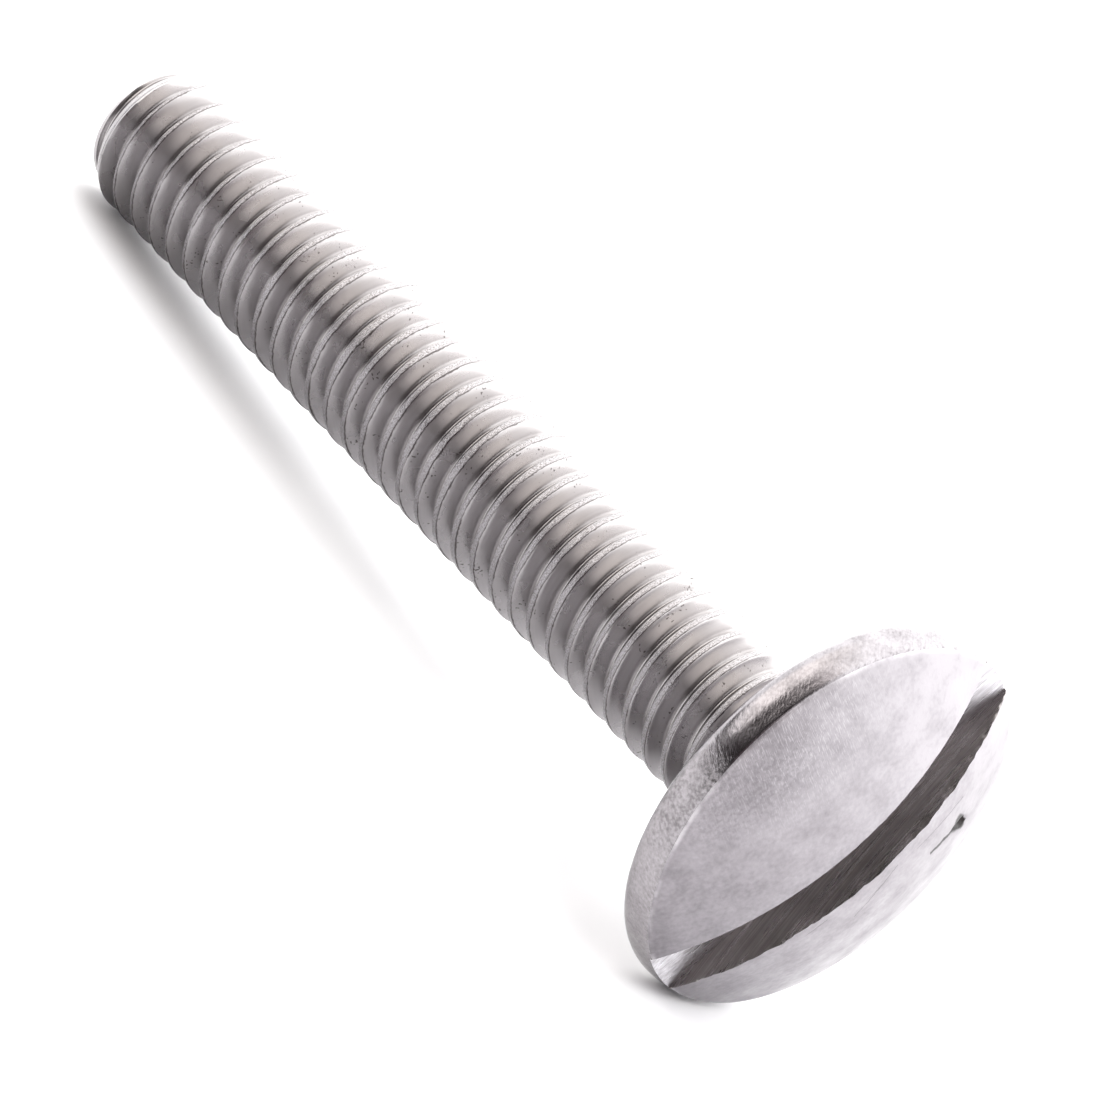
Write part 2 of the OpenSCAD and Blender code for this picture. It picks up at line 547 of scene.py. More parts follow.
@dataclass(frozen=True)
class MushroomHead:
    """The upset head and its driver slot, in millimetres.

    The slot's frame has x along the slot and y across it. Each half of the
    dome has a mirror of one above the slot, or minus one below it.
    """

    radius: float = 4.9
    rim_height: float = 0.96
    seat_round: float = 0.35
    rim_draw: float = 0.09
    rim_bend: float = 0.5
    dome_height: float = 1.28
    crease_round: float = 0.2
    slot_width: float = 1.45
    slot_depth: float = 1.34
    slot_offset: float = 0.13
    slot_turn: float = -23.0
    upper_burr: float = 0.055
    lower_burr: float = 0.01
    burr_share: float = 6.0
    nick: Nick = Nick()
    along: int = 200
    dome_rows: int = 28
    dome_rows_end: float = 0.976
    dome_rows_power: float = 1.15
    crease_rows: tuple[float, ...] = (0.982, 0.988, 0.994, 1.0)
    crease_steps: tuple[float, ...] = (0.0, 0.02, 0.04, 0.06, 0.09)
    wall_rows: int = 8
    floor_rows: int = 5
    side_rows: int = 9
    bend_rows: int = 8
    seat_radii: tuple[float, ...] = (3.9, 3.1, 2.5)

    @property
    def crease_r(self) -> float:
        """Radius of the crease between the dome and the rim."""
        return self.radius - self.rim_draw

    @property
    def dome_r(self) -> float:
        """Radius of the dome's sphere."""
        return (self.crease_r**2 + self.dome_height**2) / (2 * self.dome_height)

    @property
    def floor_z(self) -> float:
        """Height of the slot's floor above the seat."""
        return self.rim_height + self.dome_height - self.slot_depth

    @property
    def floor_r(self) -> float:
        """Radius of the rim at the height of the slot's floor."""
        return float(self.rim_r(np.array([self.floor_z]))[0])

    @property
    def sides(self) -> tuple[float, float]:
        """Where the slot's two walls stand, across the slot."""
        middle = -self.slot_offset
        return middle + self.slot_width / 2, middle - self.slot_width / 2

    @property
    def spread(self) -> Array:
        """Places along the slot, as shares of its half length."""
        return np.cos(np.pi * np.arange(self.along + 1) / self.along)

    @property
    def levels(self) -> Array:
        """Heights of the rows from the crease down to the slot's floor."""
        *near, start = self.rim_height - np.array(self.crease_steps)
        return np.append(near, np.linspace(start, self.floor_z, self.wall_rows - 3))

    def dome_z(self, x: Array, y: Array) -> Array:
        """Height of the dome, with its dent."""
        top = self.rim_height + self.dome_height - self.dome_r
        return top + np.sqrt(self.dome_r**2 - x**2 - y**2) - self.nick.dent(x, y)

    def rim_r(self, z: Array) -> Array:
        """Radius of the rim at a height, from the seat's edge to the crease."""
        share = np.clip(z - self.seat_round, 0, None) / (self.rim_height - self.seat_round)
        bent = np.minimum(share, self.rim_bend)
        drawn = bent * (2 * share - bent) / (self.rim_bend * (2 - self.rim_bend))
        below = np.clip(self.seat_round - z, 0, self.seat_round)
        rounded = np.sqrt(np.clip(self.seat_round**2 - below**2, 0, None))
        lower = self.radius - self.seat_round + rounded
        return np.where(z >= self.seat_round, self.radius - self.rim_draw * drawn, lower)

    def soften(self, points: Array) -> Array:
        """Round the crease between the dome and the rim.

        Args:
            points: points of the dome or the rim, in the slot's frame.

        Returns:
            The points, those near the crease moved in onto the rounding.
        """
        x, y, z = np.moveaxis(points, -1, 0)
        radius = np.hypot(x, y)
        dome_lean = math.asin(self.crease_r / self.dome_r)
        side = self.rim_height - self.seat_round
        rim_lean = 2 * self.rim_draw / side / (2 - self.rim_bend)
        half = (math.pi / 2 - dome_lean - rim_lean) / 2
        far = np.hypot(self.crease_r - radius, self.rim_height - z)
        reach = self.crease_round * math.tan(half)
        sink = np.clip(reach - far, 0, None) ** 2 / (2 * self.crease_round)
        lift = math.pi / 2 - dome_lean - half
        way = np.where(z > self.rim_height - 1e-6, lift + half, lift - half)
        way = np.where(far < 1e-6, lift, way)
        radial = sink * np.cos(way) / radius
        return points - np.stack([x * radial, y * radial, sink * np.sin(way)], -1)

    def burr(self, along: Array, mirror: float) -> Array:
        """Give how far the saw's burr pushes the slot's edge outwards."""
        rough, seed = (self.upper_burr, 31) if mirror > 0 else (self.lower_burr, 32)
        coarse, fine = Ripple(0.6, 0.31, seed), Ripple(0.6, 0.10, seed + 2)
        return rough * (coarse.at(along) + fine.at(along))

    def place(self, skin: Skin, points: Array) -> Array:
        """Add points given in the slot's frame and give their numbers."""
        return skin.add_points(turned(points, self.slot_turn))

    def build(self, skin: Skin, neck_ring: list[int], thread: RolledThread) -> None:
        """Build the head on the neck's ring.

        Args:
            skin: the mesh to add to.
            neck_ring: point numbers of the ring where the neck meets the seat.
            thread: the thread, for the ring's sizes.
        """
        upper_rim, upper_foot = self.build_half(skin, self.sides[0], 1.0)
        lower_rim, lower_foot = self.build_half(skin, self.sides[1], -1.0)
        floor = self.build_floor(skin, upper_foot, lower_foot)
        loop = (upper_rim, floor[::-1, -1], lower_rim[::-1], floor[:, 0])
        self.build_rim(skin, np.concatenate([part[:-1] for part in loop]), neck_ring, thread)

    def build_half(self, skin: Skin, side: float, mirror: float) -> tuple[Array, Array]:
        """Build one half of the dome, its slot wall and the rim beside it.

        Args:
            skin: the mesh to add to.
            side: where the wall stands, across the slot.
            mirror: one for the half above the slot, minus one for the other.

        Returns:
            Point numbers of the rim's and of the wall's lowest rows.
        """
        spread, levels = self.spread, self.levels
        rows = np.linspace(0, self.dome_rows_end, self.dome_rows - 3) ** self.dome_rows_power
        rows = np.append(rows, self.crease_rows)[:, None]
        crease_x = math.sqrt(self.crease_r**2 - side**2) * spread
        rim_y = mirror * np.sqrt(np.clip(self.crease_r**2 - crease_x**2, 0, None))
        edge_y = side + mirror * self.burr(spread * self.crease_r, mirror)
        edge_y[[0, -1]] = side
        y = edge_y + (rim_y - edge_y) * rows
        x = np.broadcast_to(crease_x, y.shape)
        z = self.dome_z(x, y)
        z[-1] = self.rim_height
        dome = np.stack([x, y, z], -1)
        dome_n = self.place(skin, self.soften(dome))
        dome_n[:, 0], dome_n[:, -1] = dome_n[0, 0], dome_n[0, -1]
        skin.add_grid(dome_n, dome, Finish.TUMBLED, flipped=mirror > 0)
        # The wall, from the dome's edge down to the floor, straight below the burr
        share = np.linspace(0, 1, len(levels))[:, None]
        floor_x = math.sqrt(self.floor_r**2 - side**2) * spread
        wall_x = crease_x + (floor_x - crease_x) * share
        wall_y = edge_y + (side - edge_y) * np.clip(share * self.burr_share, 0, 1)
        wall = np.stack([wall_x, wall_y, z[0] + (self.floor_z - z[0]) * share], -1)
        reach = np.sqrt(self.rim_r(levels) ** 2 - side**2)
        wall[:, 0, ::2] = np.stack([reach, levels], -1)
        wall[:, -1, ::2] = np.stack([-reach, levels], -1)
        wall_n = np.concatenate([dome_n[:1], self.place(skin, wall[1:])])
        skin.add_grid(wall_n, wall, Finish.SAWN, flipped=mirror < 0)
        # The rim beside the slot, from the crease down to the floor's level
        radii = self.rim_r(levels)[:, None]
        start = np.arcsin(side * mirror / radii)
        first = np.arctan2(rim_y * mirror, crease_x)
        part = (first - first[0]) / (first[-1] - first[0])
        rim = rings(radii, start + (np.pi - 2 * start) * part, levels[:, None])
        rim = rim * (1, mirror, 1)
        inner = self.place(skin, self.soften(rim[1:, 1:-1]))
        rim_n = np.concatenate([wall_n[1:, :1], inner, wall_n[1:, -1:]], 1)
        rim_n = np.concatenate([dome_n[-1:], rim_n])
        skin.add_grid(rim_n, rim, Finish.RIM, flipped=mirror > 0)
        return rim_n[-1], wall_n[-1]

    def build_floor(self, skin: Skin, upper_foot: Array, lower_foot: Array) -> Array:
        """Build the slot's floor between the walls' feet and give its numbers."""
        upper, lower = self.sides
        y = np.linspace(lower, upper, self.floor_rows + 1)[:, None]
        x = np.sqrt(self.floor_r**2 - y**2) * self.spread
        floor = np.stack(np.broadcast_arrays(x, y, self.floor_z), -1)
        inner = self.place(skin, floor[1:-1])
        numbers = np.concatenate([lower_foot[None], inner, upper_foot[None]])
        skin.add_grid(numbers, floor, Finish.FLOOR, flipped=True)
        return numbers

    def build_rim(
        self, skin: Skin, loop: Array, neck_ring: list[int], thread: RolledThread
    ) -> None:
        """Build the whole rings below the slot, the seat and its inner edge.

        Args:
            skin: the mesh to add to.
            loop: point numbers round the rim at the slot floor's level.
            neck_ring: point numbers of the neck's ring.
            thread: the thread, for the ring's sizes.
        """
        above = np.concatenate(skin.points)[loop]
        theta = np.unwrap(np.arctan2(above[:, 1], above[:, 0]))
        side = np.linspace(self.floor_z, self.seat_round, self.side_rows + 1)[1:]
        lean = np.linspace(0, np.pi / 2, self.bend_rows + 1)[1:]
        heights = np.concatenate([side, self.seat_round * (1 - np.sin(lean))])
        radii = np.concatenate([self.rim_r(heights), self.seat_radii])
        heights = np.concatenate([heights, np.zeros_like(self.seat_radii)])
        below = rings(radii[:, None], theta, heights[:, None])
        numbers = np.concatenate([loop[None], skin.add_points(below)])
        lay = turned(np.concatenate([above[None], below]), -self.slot_turn)
        skin.add_grid(closed(numbers), closed(lay), Finish.RIM, flipped=True)
        # The seat's inner edge is stitched to the neck's ring, from angle zero
        start = int(np.argmin(np.abs((theta + np.pi) % CIRCLE - np.pi)))
        order = np.roll(np.arange(len(theta)), -start)
        keys = (theta[order] - theta[start]).tolist()
        outer = list(zip(numbers[-1, order].tolist(), keys, lay[-1, order]))
        outer.append((outer[0][0], keys[0] + CIRCLE, outer[0][2]))
        keys = [CIRCLE * k / thread.around for k in range(thread.around + 1)]
        places = rings(thread.neck_r + thread.neck_fillet, np.array(keys), 0)
        inner = list(zip([*neck_ring, neck_ring[0]], keys, places))
        skin.stitch(inner, outer, Finish.RIM)


# ---------------------------------------------------------------- nodes


Kind = tuple[str, dict[str, object]]
Node = bpy.types.Node
Source = Node | bpy.types.NodeSocket
Value = Source | float | str | tuple[float, ...] | Vector

# The kinds of node, each its type and its settings
MULTIPLY: Kind = ("ShaderNodeMath", {"operation": "MULTIPLY"})
MULTIPLY_ADD: Kind = ("ShaderNodeMath", {"operation": "MULTIPLY_ADD"})
SUBTRACT: Kind = ("ShaderNodeMath", {"operation": "SUBTRACT"})
ABSOLUTE: Kind = ("ShaderNodeMath", {"operation": "ABSOLUTE"})
MAXIMUM: Kind = ("ShaderNodeMath", {"operation": "MAXIMUM"})
MINIMUM: Kind = ("ShaderNodeMath", {"operation": "MINIMUM"})
LESS: Kind = ("ShaderNodeMath", {"operation": "LESS_THAN"})
GREATER: Kind = ("ShaderNodeMath", {"operation": "GREATER_THAN"})
COSINE: Kind = ("ShaderNodeMath", {"operation": "COSINE"})
ARCTAN2: Kind = ("ShaderNodeMath", {"operation": "ARCTAN2"})
PLACE: Kind = ("ShaderNodeVectorMath", {"operation": "MULTIPLY_ADD"})
STRETCH: Kind = ("ShaderNodeVectorMath", {"operation": "MULTIPLY"})
DOT: Kind = ("ShaderNodeVectorMath", {"operation": "DOT_PRODUCT"})
LENGTH: Kind = ("ShaderNodeVectorMath", {"operation": "LENGTH"})
SPLIT: Kind = ("ShaderNodeSeparateXYZ", {})
COMBINE: Kind = ("ShaderNodeCombineXYZ", {})
TURN: Kind = ("ShaderNodeMapping", {"vector_type": "TEXTURE"})
RANGE: Kind = ("ShaderNodeMapRange", {})
STEP: Kind = ("ShaderNodeMapRange", {"interpolation_type": "SMOOTHSTEP"})
MIX: Kind = ("ShaderNodeMix", {})
BLEND: Kind = ("ShaderNodeMix", {"data_type": "RGBA"})
TINT: Kind = ("ShaderNodeMix", {"data_type": "RGBA", "blend_type": "MULTIPLY"})
NOISE: Kind = ("ShaderNodeTexNoise", {})
COORDINATES: Kind = ("ShaderNodeTexCoord", {})
LAYS: Kind = ("ShaderNodeAttribute", {"attribute_type": "GEOMETRY", "attribute_name": LAY})
BUMP: Kind = ("ShaderNodeBump", {})
SHADER: Kind = ("ShaderNodeBsdfPrincipled", {})
SURFACE: Kind = ("ShaderNodeOutputMaterial", {})
BACKGROUND: Kind = ("ShaderNodeBackground", {})
WORLD: Kind = ("ShaderNodeOutputWorld", {})

# A grain as long as this doesn't change along its direction
EVEN = 50.0
# A size that leaves nothing of a direction
FLAT = 1e4


@dataclass(frozen=True)
class Grain:
    """A noise: its grains' size along each lay direction, in millimetres.

    The detail is its octaves of finer noise, and the shift, in grains, makes
    the pattern another one.
    """

    size: tuple[float, float, float]
    detail: float = 2.0
    shift: tuple[float, float, float] = (0, 0, 0)


@dataclass(frozen=True)
class Look:
    """A surface's colour, roughness and relief, and the relief's depth in mm."""

    colour: Source
    roughness: Source
    relief: Source
    depth: float


@dataclass(frozen=True)
class Tree:
    """A node tree, with the one function that adds a node."""

    tree: bpy.types.NodeTree

    @classmethod
    def of(cls, owner: bpy.types.Material | bpy.types.World) -> Tree:
        """Turn on the owner's nodes and give its tree, emptied."""
        owner.use_nodes = True
        owner.node_tree.nodes.clear()
        return cls(owner.node_tree)

    def add(self, kind: Kind, *values: Value, **named: Value) -> Node:
        """Add a node with its settings and links.

        A value is a number, a vector, an sRGB hex colour, a socket, or a node,
        which is joined by its first output in use.

        Args:
            kind: the node's type and its settings.
            *values: values for the inputs in use, in order.
            **named: values by input name, with spaces as underscores.

        Returns:
            The new node.
        """
        node = self.tree.nodes.new(kind[0])
        for name, setting in kind[1].items():
            setattr(node, name, setting)
        pairs = list(zip((socket for socket in node.inputs if socket.enabled), values))
        pairs += [(node.inputs[name.replace("_", " ")], value) for name, value in named.items()]
        for socket, value in pairs:
            if isinstance(value, Node):
                value = next(output for output in value.outputs if output.enabled)
            if isinstance(value, bpy.types.NodeSocket):
                self.tree.links.new(value, socket)
            else:
                socket.default_value = linear(value) if isinstance(value, str) else value
        return node

    def grain(self, lay: Source, grain: Grain) -> Node:
        """Add a noise with grains of a real size over a lay vector."""
        scale = tuple(1 / size for size in grain.size)
        scaled = self.add(PLACE, lay, scale, grain.shift)
        return self.add(NOISE, Vector=scaled, Scale=1.0, Detail=grain.detail)

    def show(self, look: Look, metallic: float) -> None:
        """Join a look to a shader and to the surface's output."""
        bump = self.add(BUMP, Strength=1.0, Distance=look.depth * MM, Height=look.relief)
        shader = self.add(SHADER, look.colour, metallic, look.roughness, Normal=bump)
        self.add(SURFACE, shader)


# ---------------------------------------------------------------- finishes


@dataclass(frozen=True)
class SteelFinish:
    """Stainless steel after one process: the base of every finish.

    Each finish reads the mesh's lay vectors, so all sizes are in millimetres.
    """

    name: str
    colour: str
    dark: str
    roughness: float

    def material(self) -> bpy.types.Material:
        """Build the material."""
        made = bpy.data.materials.new(self.name)
        tree = Tree.of(made)
        tree.show(self.look(tree, tree.add(LAYS).outputs["Vector"]), metallic=1.0)
        return made

    def look(self, tree: Tree, lay: Source) -> Look:
        """Add the finish's patterns.

        Args:
            tree: the material's tree.
            lay: the lay vector.

        Returns:
            The look that they make.
        """
        raise NotImplementedError

    def wander(self, tree: Tree, noise: Source, less: float, more: float) -> Node:
        """Let the roughness wander with a noise, from less to more than its own."""
        return tree.add(RANGE, noise, 0.3, 0.7, self.roughness - less, self.roughness + more)


@dataclass(frozen=True)
class RolledSteel(SteelFinish):
    """Thread rolled between dies: satin flanks and torn bright crests.

    The dies leave faint streaks along the helix. The steel that met between
    them at the crests is ragged, so each crest reads as a bright broken line
    between two dark lines, part seam and part painted shade, with pits and dirt
    specks on the flanks. The groove's bottom and one side of the thread carry
    painted shade. Its lay is the way along the helix, the way across it and
    half the torn strip's width.
    """

    crest: str = "#b0adaf"
    seam: str = "#4a4442"
    # Painted shade for the groove's bottom
    groove_shade: str = "#5f5957"
    # Painted shade: the tint that darkens one side of the thread
    shade_tint: str = "#c6c5c8"
    # Angle round the thread where the painted shade is strongest
    shaded_side: float = -53.0
    crest_r: float = RolledThread.crest_r
    torn_by: float = 0.04
    strip_edge: tuple[float, float] = (0.021, 0.009)
    seam_past: float = 0.025
    seam_reach: tuple[float, float] = (0.006, 0.018)
    lips: tuple[float, float] = (-0.02, 0.02)
    groove: tuple[float, float] = (0.22, 0.33)
    scraps: Grain = Grain((0.10, 0.03, EVEN), 3)
    breaks: Grain = Grain((0.5, 0.3, EVEN), 3, (7, 3, 1))
    streaks: Grain = Grain((1.6, 0.03, EVEN), 2, (3, 1, 5))
    clouds: Grain = Grain((1.1, 0.45, EVEN), 3, (1, 8, 2))
    specks: Grain = Grain((0.06, 0.032, EVEN), 0, (9, 2, 4))
    flocks: Grain = Grain((0.5, 0.3, EVEN), 1, (2, 6, 8))
    rags: Grain = Grain((0.05, 0.022, EVEN), 3, (5, 5, 3))
    lines: Grain = Grain((0.12, 0.02, EVEN), 2, (4, 7, 7))
    depth: float = 0.008

    def look(self, tree: Tree, lay: Source) -> Look:
        """Add the thread's patterns and give its look."""
        along, across, strip = tree.add(SPLIT, lay).outputs
        away = tree.add(ABSOLUTE, across)
        # The torn edge wanders by about 0.01 mm, in scraps 0.1 mm long
        past = tree.add(SUBTRACT, away, strip)
        edge = tree.add(MULTIPLY_ADD, tree.grain(lay, self.scraps), self.torn_by, past)
        on_crest = tree.add(STEP, edge, *self.strip_edge)
        cloud = tree.grain(lay, self.clouds)
        flank = self.flank(tree, lay, away, cloud)
        rag = tree.grain(lay, self.rags)
        top = tree.add(BLEND, tree.add(STEP, rag, 0.42, 0.54), self.dark, self.crest)
        skin = tree.add(BLEND, on_crest, flank, top)
        turn = tree.add(MULTIPLY_ADD, along, 1 / self.crest_r, -math.radians(self.shaded_side))
        side = tree.add(COSINE, turn)
        skin = tree.add(BLEND, self.seam_and_shade_mask(tree, lay, across, edge, side), skin, self.seam)
        # Painted shade: the side of the thread round the shaded side's angle is tinted darker
        skin = tree.add(TINT, tree.add(STEP, side, 0.2, 0.9, 0.0, 0.75), skin, self.shade_tint)
        # The crests are a little smoother, and clouds make both wander
        rough = tree.add(RANGE, on_crest, 0.0, 1.0, self.roughness, self.roughness - 0.03)
        rough = tree.add(SUBTRACT, tree.add(MULTIPLY_ADD, cloud, 0.14, rough), 0.07)
        relief = tree.add(MULTIPLY, tree.add(MULTIPLY, rag, on_crest), 1.8)
        relief = tree.add(MULTIPLY_ADD, tree.grain(lay, self.lines), 0.05, relief)
        return Look(skin, rough, relief, self.depth)

    def seam_and_shade_mask(
        self, tree: Tree, lay: Source, across: Source, edge: Source, side: Source
    ) -> Node:
        """Give how dark the line beside the crest's torn strip is: part seam, part
        painted shade of the groove behind the crest's edge.

        Args:
            tree: the material's tree.
            lay: the lay vector.
            across: the way from the crest's middle.
            edge: the way past the torn edge.
            side: one on the side with painted shade, minus one on the other.

        Returns:
            The strength of the seam and its painted shade.
        """
        beside = tree.add(ABSOLUTE, tree.add(SUBTRACT, edge, self.seam_past))
        reach = tree.add(STEP, tree.grain(lay, self.breaks), 0.3, 0.55, *self.seam_reach)
        # The lips folded towards the tip, so the seam on that side is shut
        shut = tree.add(RANGE, across, *self.lips, 0.1, 0.9)
        seam = tree.add(STEP, beside, reach, 0.0, 0.0, shut)
        # Painted light: the dark line fades away on the lit side of the thread
        return tree.add(MULTIPLY, seam, tree.add(STEP, side, -0.55, 0.0, 0.1, 1.0))

    def flank(self, tree: Tree, lay: Source, away: Source, cloud: Source) -> Node:
        """Give the colour of the flanks and the groove between the crests.

        Args:
            tree: the material's tree.
            lay: the lay vector.
            away: distance from the crest's middle.
            cloud: a noise of broad faint clouds.

        Returns:
            The flanks' colour.
        """
        # Die streaks along the helix
        tone = tree.add(MULTIPLY_ADD, tree.grain(lay, self.streaks), 0.35, cloud)
        flank = tree.add(BLEND, tree.add(RANGE, tone, 0.35, 1.0, 0.0, 0.34), self.colour, self.dark)
        # Painted shade in the groove's bottom, broken up by clouds
        darkened = tree.add(RANGE, cloud, 0.3, 0.7, 0.45, 0.85)
        darkened = tree.add(MULTIPLY, tree.add(STEP, away, *self.groove), darkened)
        flank = tree.add(BLEND, darkened, flank, self.groove_shade)
        # Specks of dirt and small pits, about 0.04 mm across, in flocks
        speck = tree.add(MULTIPLY, tree.grain(lay, self.specks), tree.grain(lay, self.flocks))
        return tree.add(BLEND, tree.add(STEP, speck, 0.46, 0.49, 0.0, 0.75), flank, self.seam)


@dataclass(frozen=True)
class TumbledSteel(SteelFinish):
    """Blank headed cold and tumbled with media: an even, faintly clouded satin.

    The media leave a fine matte grain with short strokes that run in from the
    rim. Rough patches catch the light unevenly, and a few hair scratches, a
    black pit and one stained bruise are later wear. A painted shade darkens the
    dome towards one end of the slot, and a painted highlight runs round its
    edge. Its lay is the place in the slot's frame.
    """

    stroke: str = "#f1eef1"
    # Near black for the pit, the rim's bruise and the painted dark reflection along the rim's
    # crease
    dark_mark_and_reflection: str = "#2b2827"
    pit_place: tuple[float, float] = (-2.26, 2.12)
    pit_size: tuple[float, float] = (0.18, 0.38)
    tail_end: tuple[float, float] = (-1.30, 1.86)
    tail_widths: tuple[float, float] = (0.14, 0.08)
    throat_widths: tuple[float, float] = (0.40, 0.05)
    throat_share: float = 0.42
    stroke_way: float = 75.0
    stroked: tuple[tuple[float, ...], tuple[float, ...]] = ((0.28, 0.42, 0), (0.05, 1.85, 0))
    # Painted shade: how much darker the dome grows along the slot
    shade_slope: float = 0.115
    edge_r: float = 4.8
    # Painted highlight: the thin bright line round the dome's edge
    edge_highlight: tuple[float, float] = (0.1, 0.02)
    clouds: Grain = Grain((0.7, 0.7, 0.7), 5)
    grit: Grain = Grain((0.12, 0.12, 0.12), 3, (4, 1, 2))
    strokes: Grain = Grain((0.20, 0.03, EVEN), 3, (3, 3, 3))
    rubs: Grain = Grain((0.09, 0.09, 0.09), 3, (2, 9, 4))
    pit_waver: Grain = Grain((0.2, 0.2, 0.2), 2, (3, 1, 8))
    waver: Grain = Grain((0.12, 0.12, 0.12), 2, (8, 8, 1))
    waver_by: float = 0.07
    depth: float = 0.005
    bruises: tuple[tuple[tuple[float, ...], tuple[float, ...]], ...] = (
        ((0.5, 1.25, 0), (-0.55, 4.9, 0)), ((2.0, 3.4, 3.4), (-2.7, 15.75, -2.9))
    )
    scratches: tuple[tuple[float, float, float, float], ...] = (
        (-0.55, 0.90, 0.85, 1.50),
        (-0.30, 1.02, 0.35, 1.22),
        (-2.60, 1.25, -1.10, 1.05),
        (1.35, 0.78, 1.95, 0.86),
    )

    def look(self, tree: Tree, lay: Source) -> Look:
        """Add the dome's patterns and give its look."""
        cloud = tree.grain(lay, self.clouds)
        fine = tree.grain(lay, self.grit)
        stroke = self.stroke_mask(tree, lay)
        # Painted shade: the dome grows darker towards one end of the slot
        tone = tree.add(MULTIPLY_ADD, fine, 0.9, cloud)
        tone = tree.add(MULTIPLY_ADD, tree.add(DOT, lay, (1, 0, 0)), self.shade_slope, tone)
        skin = tree.add(BLEND, tree.add(RANGE, tone, 0.55, 1.75), self.colour, self.dark)
        skin = tree.add(BLEND, tree.add(MULTIPLY, stroke, 0.16), skin, self.stroke)
        cut: Value = 0.0
        for line in self.scratches:
            cut = tree.add(MAXIMUM, cut, self.scratch(tree, lay, line))
        mark = tree.add(MAXIMUM, cut, self.bruise(tree, lay))
        skin = tree.add(BLEND, mark, skin, self.dark)
        skin = tree.add(BLEND, self.pit(tree, lay), skin, self.dark_mark_and_reflection)
        # The edge round the dome is rubbed, and a painted highlight makes it a thin bright broken
        # line
        edge = tree.add(ABSOLUTE, tree.add(SUBTRACT, self.from_axis(tree, lay), self.edge_r))
        broken = tree.add(STEP, cloud, 0.35, 0.6, 0.3, 0.04)
        rubbed = tree.add(MULTIPLY, tree.add(STEP, edge, *self.edge_highlight), broken)
        skin = tree.add(BLEND, rubbed, skin, self.stroke)
        relief = tree.add(MULTIPLY_ADD, cut, -2.5, tree.add(MULTIPLY_ADD, stroke, 0.3, fine))
        return Look(skin, self.wander(tree, cloud, 0.07, 0.07), relief, self.depth)

    def stroke_mask(self, tree: Tree, lay: Source) -> Node:
        """Give the bright short strokes, which gather on one side of the slot."""
        way = tree.add(TURN, lay, Rotation=(0, 0, math.radians(self.stroke_way)))
        stroke = tree.add(STEP, tree.grain(way, self.strokes), 0.5, 0.68)
        near = tree.add(LENGTH, tree.add(PLACE, lay, *self.stroked))
        return tree.add(MULTIPLY, stroke, tree.add(STEP, near, 1.0, 0.2, 0.06, 1.0))

    def pit(self, tree: Tree, lay: Source) -> Node:
        """Give the strength of the black pit and its dragged tail."""
        (x, y), (wide, long) = self.pit_place, self.pit_size
        end_x, end_y = self.tail_end
        share = self.throat_share
        off = tree.add(PLACE, lay, (1 / wide, 1 / long, 0), (-x / wide, -y / long, 0))
        off = tree.add(MULTIPLY_ADD, tree.grain(lay, self.pit_waver), 0.7, tree.add(LENGTH, off))
        mask = tree.add(STEP, off, 1.45, 1.15, 0.0, 0.98)
        tail = (x, y, end_x, end_y)
        throat = (x, y, x + share * (end_x - x), y + share * (end_y - y))
        for line, widths in ((tail, self.tail_widths), (throat, self.throat_widths)):
            mask = tree.add(MAXIMUM, mask, self.scratch(tree, lay, line, widths, 0.98))
        return mask

    def from_axis(self, tree: Tree, lay: Source) -> Node:
        """Give the distance from the screw's axis."""
        return tree.add(LENGTH, tree.add(STRETCH, lay, (1, 1, 0)))

    def bruise(self, tree: Tree, lay: Source) -> Node:
        """Give the strength of the stained, rubbed patch beside the rim."""
        wide, small = (
            tree.add(STEP, tree.add(LENGTH, tree.add(PLACE, lay, scale, shift)), 1.5, 0.2)
            for scale, shift in self.bruises
        )
        rubbed = tree.add(STEP, tree.grain(lay, self.rubs), 0.40, 0.68, 0.18, 0.75)
        return tree.add(MULTIPLY, tree.add(MULTIPLY_ADD, small, 0.6, wide), rubbed)

    def scratch(
        self,
        tree: Tree,
        lay: Source,
        line: tuple[float, float, float, float],
        widths: tuple[float, float] = (0.030, 0.016),
        strength: float = 0.75,
    ) -> Node:
        """Add one straight scratch that narrows to its end.

        Args:
            tree: the material's tree.
            lay: the lay vector.
            line: its start and its end, in millimetres in the slot's frame.
            widths: half its width at its start and at its end.
            strength: how strongly it shows.

        Returns:
            The scratch's strength.
        """
        run = Vector((line[2] - line[0], line[3] - line[1], 0))
        way = run.normalized()
        place = tree.add(PLACE, lay, (1, 1, 0), (-line[0], -line[1], 0))
        along = tree.add(DOT, place, way)
        across = tree.add(DOT, place, (-way.y, way.x, 0))
        off = tree.add(MULTIPLY_ADD, tree.grain(lay, self.waver), self.waver_by, across)
        off = tree.add(ABSOLUTE, tree.add(SUBTRACT, off, self.waver_by / 2))
        reach = tree.add(RANGE, along, 0.0, run.length, *widths)
        middle = tree.add(ABSOLUTE, tree.add(SUBTRACT, along, run.length / 2))
        thin = tree.add(MINIMUM, tree.add(STEP, off, reach, 0.0, 0.0, strength * 1.6), strength)
        return tree.add(MULTIPLY, thin, tree.add(LESS, middle, run.length / 2))


